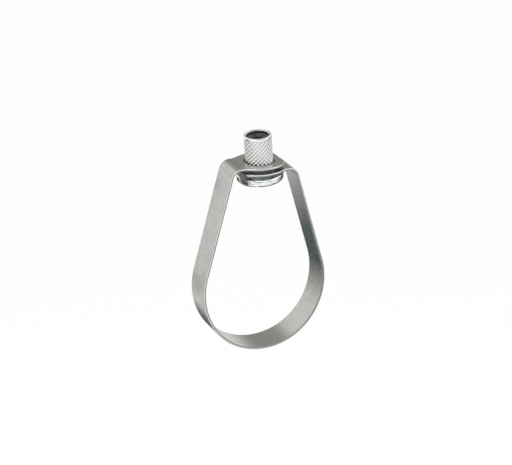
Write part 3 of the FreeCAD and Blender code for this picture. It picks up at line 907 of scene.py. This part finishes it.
@dataclass
class SwivelNut:
    """The turned nut: a knurled barrel, a flared flange with a rounded rim, and a threaded bore."""

    lean: float = 4.0
    barrel_radius: float = 6.85
    top: float = 13.7
    rim_bevel: float = 0.4
    lip_bevel: float = 0.45
    lead_in_radius: float = 5.4
    lead_in_depth: float = 1.6
    core_radius: float = 3.97
    foot_bevel: float = 0.9
    flange_radius: float = 11.45
    flange_top: float = -6.1043
    flange_foot: float = -9.5543
    shoulder_slope: float = 15.0
    neck_fillet: float = 0.6
    rim_top_round: float = 0.9
    rim_foot_round: float = 1.2
    corner_round: float = 0.1
    bore_round: float = 0.05
    knurl_grooves: int = 20
    knurl_angle: float = 46.0
    knurl_depth: float = 0.32
    knurl_second: float = 0.75
    knurl_steepness: float = 1.35
    knurl_top: float = 12.35
    knurl_foot: float = -3.4
    knurl_fade: Pair = (0.4, 0.3)
    thread_pitch: float = 1.5875
    thread_radius: float = 4.76
    thread_crest: float = 0.25
    thread_side: float = 0.625
    plates_foot: Pair = (-4.5, -3.8)
    plates_top: Pair = (-1.4, -0.5)
    bore_fade: float = 0.3
    columns: int = 320
    knurl_rows: int = 92
    thread_rows: int = 96
    large_round: float = 0.5

    def build(self) -> bpy.types.Object:
        """Turn the nut's section round its axis, cut the knurl and the thread, and lean it.

        Returns:
            The nut's object.
        """
        radius, height, length = self.section()
        angle = np.linspace(0.0, 2.0 * np.pi, self.columns + 1)
        nominal = np.broadcast_to(radius[:, None], (len(radius), len(angle)))
        level = np.broadcast_to(height[:, None], nominal.shape)
        round_angle = np.broadcast_to(angle[None], nominal.shape)
        groove = self.knurl(nominal, level, round_angle)
        cut = self.thread(nominal, level, round_angle)
        middle = (self.lead_in_radius + self.barrel_radius) / 2
        outside = nominal > middle
        actual = np.where(outside, nominal - groove, cut)
        own = np.stack([actual * np.cos(round_angle), actual * np.sin(round_angle), level], axis=-1)
        own[:, -1] = own[:, 0]
        own[-1] = own[0]
        turn = math.radians(self.lean)
        lean = np.array(
            [
                [math.cos(turn), 0.0, -math.sin(turn)],
                [0.0, 1.0, 0.0],
                [math.sin(turn), 0.0, math.cos(turn)],
            ]
        )
        core = np.stack([middle * np.cos(angle), middle * np.sin(angle), angle * 0.0], axis=-1)
        # Painted shade: the barrel between the plates is marked to be darkened
        below_top = 1.0 - smooth_step(level, *self.plates_top)
        marks = {
            Mark.PAINTED_SHADE: smooth_step(level, *self.plates_foot) * below_top * outside,
            Mark.TURNED: np.stack([nominal, level, round_angle * middle], axis=-1),
            Mark.GROOVE: groove / self.knurl_depth,
            Mark.BORE: 1.0 - smooth_step(nominal - self.lead_in_radius, 0.0, self.bore_fade),
        }
        share = np.broadcast_to((length / length[-1])[:, None], nominal.shape)
        unwrapped = np.stack([round_angle / (2.0 * np.pi), share], axis=-1)
        skin = Skin()
        unwrapped = MAP_MARGIN + (1.0 - 2.0 * MAP_MARGIN) * unwrapped
        skin.add(own @ lean.T, (core @ lean.T)[None], marks, unwrapped)
        return skin.make("knurled_nut")

    def dress(self, nut: bpy.types.Object, finish: PlatedSteel) -> None:
        """Give the nut its finish, its body and its slot, in place of the plain node."""
        nut.data.materials.append(finish.make())
        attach(nut, Body.NUT.value)
        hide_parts("swivel_nut")

    def section(self) -> tuple[np.ndarray, np.ndarray, np.ndarray]:
        """Half section of the nut: straight runs between corners that arcs round off.

        An arc of radius r touches the two runs that meet at a corner where they are r times the
        tangent of half the turn away from it.

        Returns:
            Radius and height of each point, the first one repeated at the end, and the length of
            the line before each.
        """
        small = self.corner_round
        rise = (self.flange_radius - self.barrel_radius) * math.tan(math.radians(self.shoulder_slope))
        step_foot = self.top - self.lead_in_depth - (self.lead_in_radius - self.core_radius)
        # Each corner: radius, height, rounding, and steps on the run that follows it
        corners = [
            (self.core_radius + self.foot_bevel, self.flange_foot, small, 8),
            (self.flange_radius, self.flange_foot, self.rim_foot_round, 4),
            (self.flange_radius, self.flange_top, self.rim_top_round, 8),
            (self.barrel_radius, self.flange_top + rise, self.neck_fillet, self.knurl_rows),
            (self.barrel_radius, self.top - self.rim_bevel, small, 3),
            (self.barrel_radius - self.rim_bevel, self.top, small, 3),
            (self.lead_in_radius + self.lip_bevel, self.top, small, 3),
            (self.lead_in_radius, self.top - self.lip_bevel, small, 4),
            (self.lead_in_radius, self.top - self.lead_in_depth, self.bore_round, 10),
            (self.core_radius, step_foot, self.bore_round, self.thread_rows),
            (self.core_radius, self.flange_foot + self.foot_bevel, self.bore_round, 8),
        ]
        places = np.array([corner[:2] for corner in corners])
        before = np.roll(places, 1, axis=0) - places
        after = np.roll(places, -1, axis=0) - places
        before /= np.linalg.norm(before, axis=1, keepdims=True)
        after /= np.linalg.norm(after, axis=1, keepdims=True)
        half_open = np.arccos(np.clip(np.sum(before * after, axis=1), -1.0, 1.0)) / 2.0
        rounding = np.array([corner[2] for corner in corners])
        setback = rounding / np.tan(half_open)
        starts, ends = places + before * setback[:, None], places + after * setback[:, None]
        bisector = before + after
        bisector /= np.linalg.norm(bisector, axis=1, keepdims=True)
        centres = places + bisector * (rounding / np.sin(half_open))[:, None]
        parts = []
        for number, corner in enumerate(corners):
            steps = 10 if corner[2] >= self.large_round else 4
            share = np.linspace(-1.0, 1.0, steps + 1)[:-1] * (np.pi / 2.0 - half_open[number])
            axis = -bisector[number]
            side = (starts[number] - centres[number]) / rounding[number]
            side = side - axis * np.dot(side, axis)
            side /= -np.linalg.norm(side)
            turned = axis * np.cos(share)[:, None] + side * np.sin(share)[:, None]
            parts.append(centres[number] + rounding[number] * turned)
            parts.append(run(ends[number], starts[(number + 1) % len(corners)], corner[3]))
        line = np.concatenate(parts + [parts[0][:1]])
        length = np.concatenate([[0.0], np.cumsum(np.linalg.norm(np.diff(line, axis=0), axis=1))])
        return line[:, 0], line[:, 1], length

    def knurl(self, radius: np.ndarray, height: np.ndarray, angle: np.ndarray) -> np.ndarray:
        """Depth of the diamond knurl, cut by two families of V grooves that wind opposite ways.

        A family's phase is its number of grooves times the share of a turn, plus or minus the
        height over the grooves' rise. The distance of each phase from a whole number gives a
        triangle wave with its tip cut flat. One family is shallower, and a point lies as deep
        as the deeper of its two grooves.

        Args:
            radius: The plain section's radius at each point.
            height: Height of each point.
            angle: Angle of each point round the nut.

        Returns:
            How far each point is cut in.
        """
        girth = 2.0 * np.pi * self.barrel_radius
        rise = girth / self.knurl_grooves / math.tan(math.radians(self.knurl_angle))
        turns, climb = self.knurl_grooves * angle / (2.0 * np.pi), height / rise
        cuts = []
        for phase, strength in ((turns - climb, 1.0), (turns + climb, self.knurl_second)):
            share = phase - np.floor(phase)
            wave = 2.0 * np.minimum(share, 1.0 - share)
            cuts.append(strength * (1.0 - np.clip(self.knurl_steepness * wave, 0.0, 1.0)))
        foot_fade, top_fade = self.knurl_fade
        ends = smooth_step(height, self.knurl_foot, self.knurl_foot + foot_fade)
        ends = ends * (1.0 - smooth_step(height, self.knurl_top - top_fade, self.knurl_top))
        on_barrel = np.abs(radius - self.barrel_radius) < SAME
        return self.knurl_depth * np.maximum(*cuts) * ends * on_barrel

    def thread(self, radius: np.ndarray, height: np.ndarray, angle: np.ndarray) -> np.ndarray:
        """Radius of the bore with its right-hand thread.

        The phase is the height over the pitch less the share of a turn. The groove's sides stand
        about 64 degrees apart, its bottom and its crest are flat for an eighth and a quarter of
        the pitch, and the surface lies at the greater of this radius and the plain section's.

        Args:
            radius: The plain section's radius at each point.
            height: Height of each point.
            angle: Angle of each point round the nut.

        Returns:
            Radius of each point.
        """
        phase = height / self.thread_pitch - angle / (2.0 * np.pi)
        share = np.abs(phase - np.floor(phase) - 0.5) * 2.0
        groove = np.clip((share - self.thread_crest) / self.thread_side, 0.0, 1.0)
        cut = self.core_radius + (self.thread_radius - self.core_radius) * groove
        return np.maximum(radius, cut)


@dataclass(frozen=True)
class Lamp:
    """A soft square lamp that points at the hanger. Places are in metres."""

    name: str
    place: Triple
    size: float
    power: float
    colour: Triple = (1.0, 1.0, 1.0)

    def build(self, target: Vector) -> None:
        """Hang the lamp and turn it towards a point."""
        data = bpy.data.lights.new(self.name, "AREA")
        data.shape = "SQUARE"
        data.size = self.size
        data.energy = self.power
        data.color = self.colour
        lamp = bpy.data.objects.new(self.name, data)
        lamp.location = self.place
        lamp.rotation_mode = "QUATERNION"
        lamp.rotation_quaternion = (target - Vector(self.place)).to_track_quat("-Z", "Y")
        bpy.context.scene.collection.objects.link(lamp)


@dataclass(frozen=True)
class Card:
    """A card beside the hanger that only shows in its metal. Places are in metres."""

    name: str
    centre: Triple
    across: Triple
    along: Triple
    colour: Triple
    softness: Pair = (0.35, 0.35)

    def build(self) -> None:
        """Make the card as a plane: its centre, less and plus half its width and half its length.

        It is hidden from all but glossy rays.
        """
        shares = np.array([[-1.0, -1.0], [1.0, -1.0], [1.0, 1.0], [-1.0, 1.0]])
        corners = np.asarray(self.centre) + shares @ np.array([self.across, self.along])
        mesh = bpy.data.meshes.new(self.name)
        mesh.from_pydata(corners.tolist(), [], [(0, 1, 2, 3)])
        places = (shares / 2.0 + 0.5).ravel()
        mesh.uv_layers.new(name="card").uv.foreach_set("vector", places)
        mesh.materials.append(self.finish())
        card = bpy.data.objects.new(self.name, mesh)
        bpy.context.scene.collection.objects.link(card)
        card.visible_camera = False
        card.visible_diffuse = False
        card.visible_transmission = False
        card.visible_shadow = False

    def finish(self) -> bpy.types.Material:
        """An even glow that fades out towards the card's edges.

        Returns:
            The material.
        """
        material, nodes = new_material(self.name)
        place = nodes.add("SeparateXYZ")
        nodes.feed(place, vector=nodes.add("UVMap", uv_map="card").outputs[0])
        shares = []
        for output, softness in zip(place.outputs, self.softness):
            off_centre = nodes.maths("ABSOLUTE", nodes.maths("SUBTRACT", output, 0.5), 0.0)
            shares.append(nodes.spread(off_centre, 0.5, 0.5 - softness / 2))
        glow = nodes.feed(nodes.add("Emission"), color=(*self.colour, 1.0), strength=1.0)
        mix = nodes.add("MixShader")
        nodes.feed(mix, fac=nodes.maths("MULTIPLY", *shares))
        nodes.tree.links.new(nodes.add("BsdfTransparent").outputs[0], mix.inputs[1])
        nodes.tree.links.new(glow.outputs[0], mix.inputs[2])
        nodes.feed(nodes.add("OutputMaterial"), surface=mix.outputs[0])
        return material


@dataclass
class Studio:
    """A plain pale floor under the hanging part, even white surroundings, soft lamps and cards."""

    floor_level: float = -0.60
    floor_size: float = 24.0
    floor_cells: int = 8
    floor_tone: float = 0.80
    floor_lift: float = 0.325
    ambient: float = 0.80
    target: Vector = field(default_factory=lambda: Vector((0.0, 0.0, -0.042)))
    lamps: tuple[Lamp, ...] = (
        Lamp("key", (-0.80, -0.75, 0.95), 0.70, 3.0),
        Lamp("fill", (0.95, -0.70, 0.60), 0.60, 1.2),
    )
    cards: tuple[Card, ...] = (
        Card(
            "post_card", (-0.002, 0.143, -0.150), (0.055, 0.0, 0.0), (0.0, 0.0, 0.079),
            (0.055, 0.085, 0.095), (0.3, 0.7),
        ),
        Card(
            "haze_card", (-0.084, 0.146, -0.114), (0.066, 0.0, 0.0), (0.0, 0.0, 0.036),
            (0.74, 0.72, 0.68), (0.4, 0.6),
        ),
        Card(
            "neck_card", (-0.018, 0.030, -0.021), (0.015, 0.0, 0.0), (0.0, 0.0, 0.010),
            (0.03, 0.05, 0.06), SOFT,
        ),
        Card("under_card", (-0.12, 0.07, -0.24), (0.18, 0.0, 0.0), (0.0, 0.15, 0.0), SLATE, SOFT),
        Card("leg_card", (0.103, -0.076, -0.095), (0.028, 0.031, 0.0), (0.0, 0.0, 0.035), SLATE, SOFT),
        Card("corner_card", (0.23, 0.04, -0.25), (0.21, 0.0, 0.0), (0.0, 0.26, 0.0), SLATE, SOFT),
        Card("left_card", (-0.50, 0.28, -0.25), (0.0, 0.26, 0.0), (0.0, 0.0, 0.12), (0.08, 0.10, 0.11)),
        Card("side_card", (0.50, 0.15, -0.20), (0.0, 0.40, 0.0), (0.0, 0.0, 0.13), (0.35, 0.35, 0.35)),
        Card(
            "right_card", (0.25, 0.62, 0.27), (0.38, -0.12, 0.0), (-0.05, -0.07, 0.27),
            (0.36, 0.36, 0.34),
        ),
        Card("ceiling_card", (0.10, -0.10, 0.80), (0.50, 0.0, 0.0), (0.0, 0.50, 0.0), (0.50, 0.50, 0.50)),
    )

    def build(self) -> None:
        """Lay the floor, set the surroundings, and hang the lamps and cards."""
        self.lay_floor()
        self.set_surroundings()
        for lamp in self.lamps:
            lamp.build(self.target)
        for card in self.cards:
            card.build()
        bpy.context.scene.view_settings.view_transform = "Standard"

    def seen(self, nodes: Nodes) -> Socket:
        """1 for rays from the camera, from gloss and through glass, and 0 for all others."""
        rays = nodes.add("LightPath").outputs
        shown = nodes.maths("MAXIMUM", rays["Is Camera Ray"], rays["Is Glossy Ray"])
        return nodes.maths("MAXIMUM", shown, rays["Is Transmission Ray"])

    def lay_floor(self) -> None:
        """Make the floor: pale and matte, lifted to white where the camera or the metal sees it."""
        half = self.floor_size / 2
        share = np.linspace(-half, half, self.floor_cells + 1)
        across, along = np.meshgrid(share, share)
        grid = np.stack([across, along, np.full(across.shape, self.floor_level)], axis=-1)
        quads = grid_quads(*grid.shape[:2])
        mesh = bpy.data.meshes.new("floor")
        mesh.from_pydata(grid.reshape(-1, 3).tolist(), [], quads.tolist())
        material, nodes = new_material("pale_floor")
        matte = nodes.feed(nodes.add("BsdfDiffuse"), color=(*(self.floor_tone,) * 3, 1.0))
        lift = nodes.add("Emission")
        nodes.feed(lift, strength=nodes.maths("MULTIPLY", self.seen(nodes), self.floor_lift))
        both = nodes.add("AddShader")
        nodes.tree.links.new(matte.outputs[0], both.inputs[0])
        nodes.tree.links.new(lift.outputs[0], both.inputs[1])
        nodes.feed(nodes.add("OutputMaterial"), surface=both.outputs[0])
        mesh.materials.append(material)
        floor = bpy.data.objects.new("floor", mesh)
        bpy.context.scene.collection.objects.link(floor)

    def set_surroundings(self) -> None:
        """Make the world plain: softly lit, and white where the camera or the metal sees it."""
        world = bpy.data.worlds.new("surroundings")
        world.use_nodes = True
        nodes = Nodes(world.node_tree)
        level = nodes.spread(self.seen(nodes), 0.0, 1.0, self.ambient, 1.0)
        light = nodes.feed(nodes.add("Background"), color=(1.0, 1.0, 1.0, 1.0), strength=level)
        nodes.feed(nodes.add("OutputWorld"), surface=light.outputs[0])
        bpy.context.scene.world = world


@dataclass(frozen=True)
class PhotoCamera:
    """Where the photograph was taken from, fitted to the ring's outline. Places are in millimetres."""

    target: Triple = (0.0, 0.0, -45.0)
    azimuth: float = -23.373
    elevation: float = 22.532
    roll: float = 0.351
    distance: float = 1375.363
    across: float = -1.234
    upward: float = 6.798
    focal_pixels: float = 2812.6
    sensor: float = 36.0
    clip: Pair = (0.01, 60.0)

    def build(self) -> None:
        """Place the camera, turned by its azimuth, elevation and roll, and make it the scene's."""
        turn, rise, roll = (math.radians(a) for a in (self.azimuth, self.elevation, self.roll))
        back = Vector(
            (math.sin(turn) * math.cos(rise), -math.cos(turn) * math.cos(rise), math.sin(rise))
        )
        right = Vector((math.cos(turn), math.sin(turn), 0.0))
        up = back.cross(right)
        right, up = (
            right * math.cos(roll) + up * math.sin(roll),
            up * math.cos(roll) - right * math.sin(roll),
        )
        place = Vector(self.target) + back * self.distance + right * self.across + up * self.upward
        data = bpy.data.cameras.new("photo_camera")
        data.sensor_fit = "HORIZONTAL"
        data.sensor_width = self.sensor
        data.lens = self.focal_pixels * self.sensor / PHOTO_WIDTH
        data.clip_start, data.clip_end = self.clip
        camera = bpy.data.objects.new("photo_camera", data)
        turned = Matrix((right, up, back)).transposed().to_4x4()
        camera.matrix_world = Matrix.Translation(place * MM) @ turned
        bpy.context.scene.collection.objects.link(camera)
        bpy.context.scene.camera = camera


def report(piece: bpy.types.Object) -> None:
    """Log a piece's name, faces and size."""
    size = [round(extent / MM, 2) for extent in piece.dimensions]
    log.info("%s: %d faces, %s mm", piece.name, len(piece.data.polygons), size)


def main() -> None:
    """Build the ring, the nut, the studio and the camera."""
    ring = StripRing()
    strap = ring.build()
    ring.dress(strap, GalvanisedSteel())
    report(strap)
    nut = SwivelNut()
    turned = nut.build()
    nut.dress(turned, PlatedSteel())
    report(turned)
    Studio().build()
    PhotoCamera().build()


if __name__ == "__main__":
    main()
